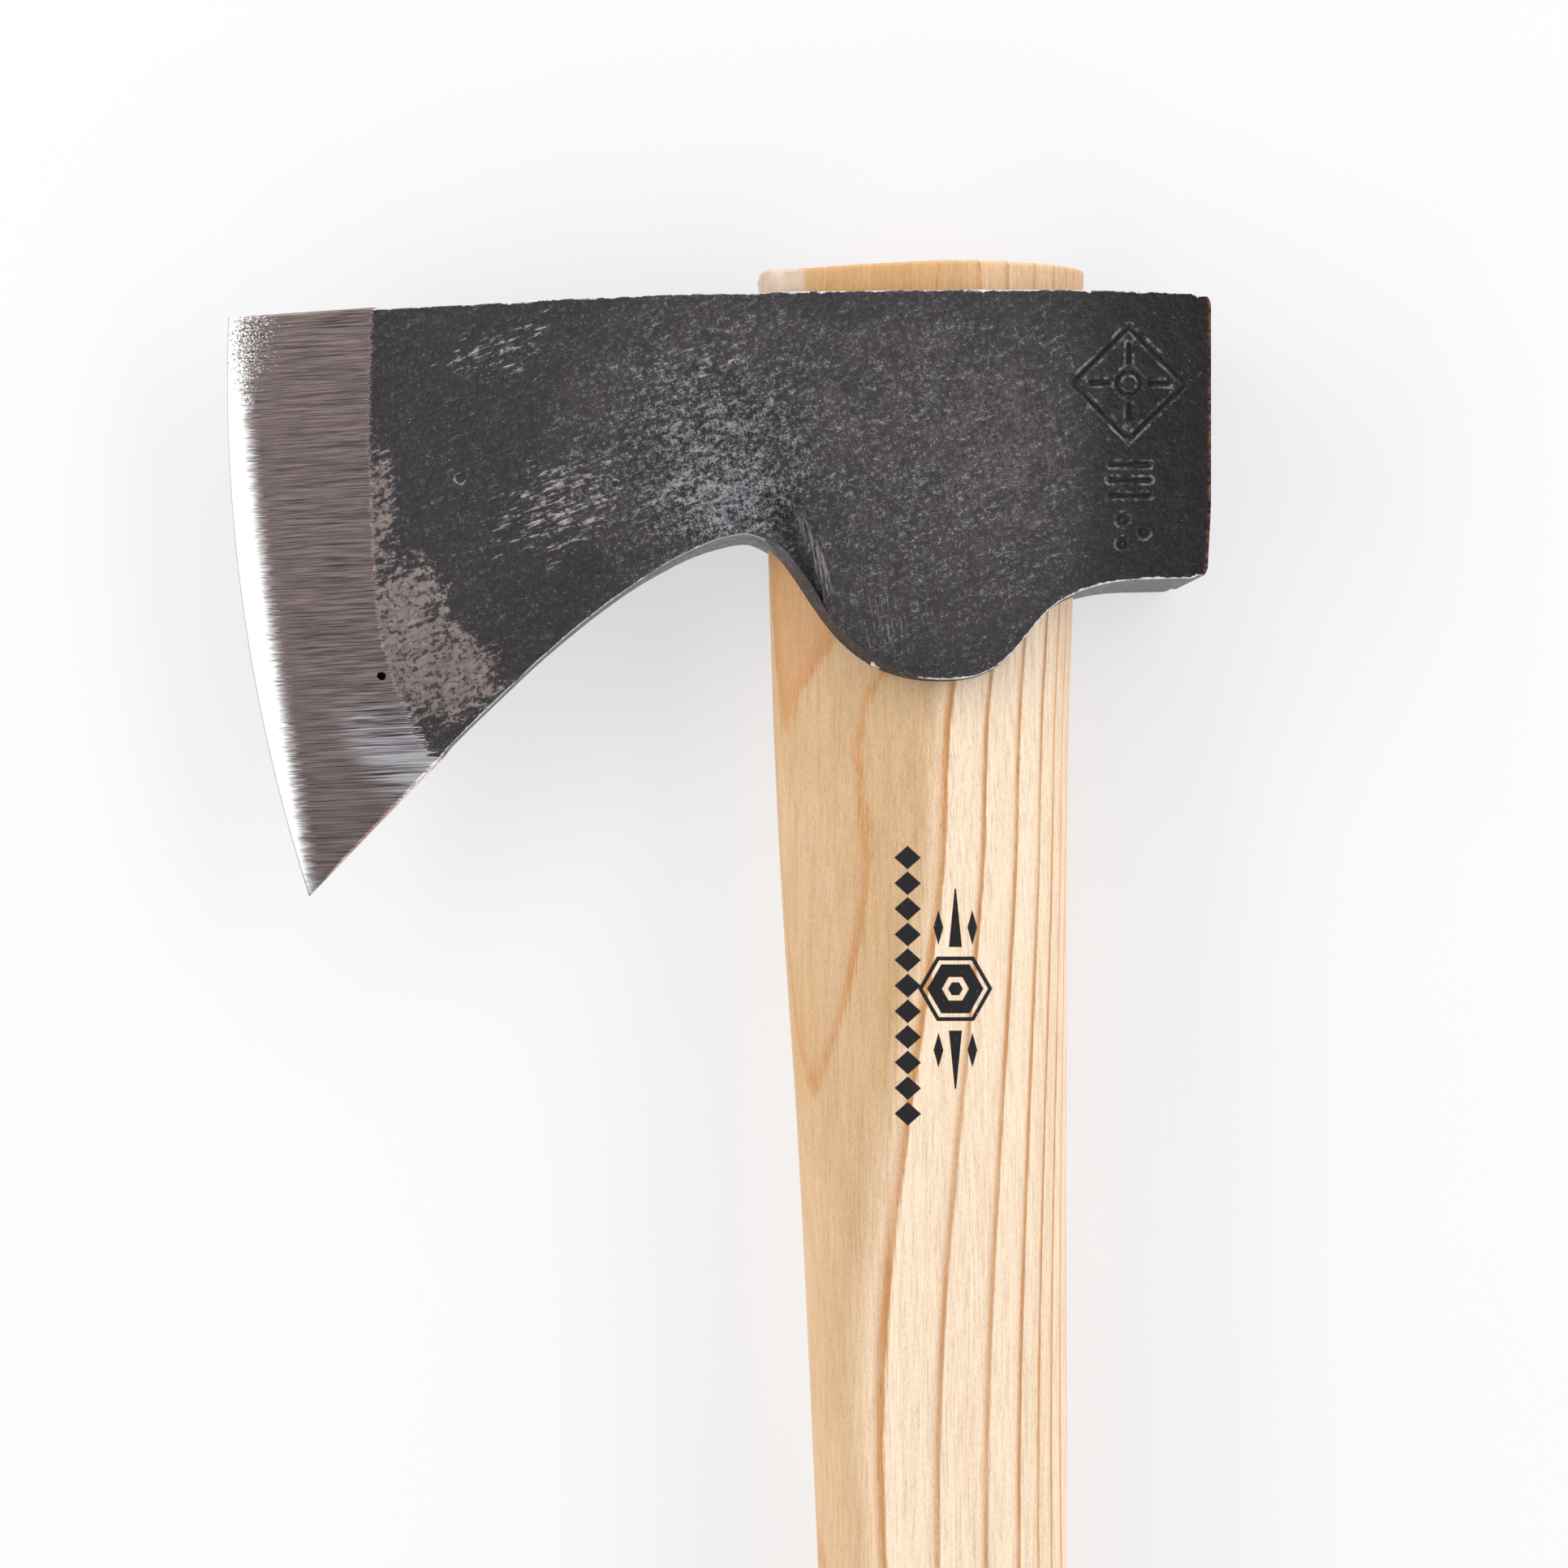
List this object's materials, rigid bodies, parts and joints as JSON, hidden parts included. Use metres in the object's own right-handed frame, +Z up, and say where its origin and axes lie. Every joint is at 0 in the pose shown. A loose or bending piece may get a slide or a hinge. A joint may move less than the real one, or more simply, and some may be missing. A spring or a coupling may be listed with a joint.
{
  "type": "carving hatchet",
  "caption": "Small bearded hatchet for wood carving: a forged head with a ground cutting edge and side lugs, wedged on a curved wooden handle with a knob.",
  "frame": {"origin": "on the lower cheek of the head, under the middle of the eye, where the hatchet rests when it lies on its side", "axes": "+Z up through the two cheeks, +Y out of the top of the eye with the handle running to -Y, +X from the cutting edge to the poll"},
  "size_m": [0.1356, 0.3597, 0.029],
  "materials": {
    "forged_steel": "black forge scale, with the bevel ground bright behind the cutting edge",
    "hickory": "pale hickory, sanded smooth and oiled",
    "wedge_wood": "dry split wood, cut flush",
    "staple_steel": "plain bright steel strip"
  },
  "bodies": {
    "root": {"axe_head": "forged_steel", "handle": "hickory", "wood_wedge": "wedge_wood", "lock_staple": "staple_steel"}
  },
  "joints": []
}
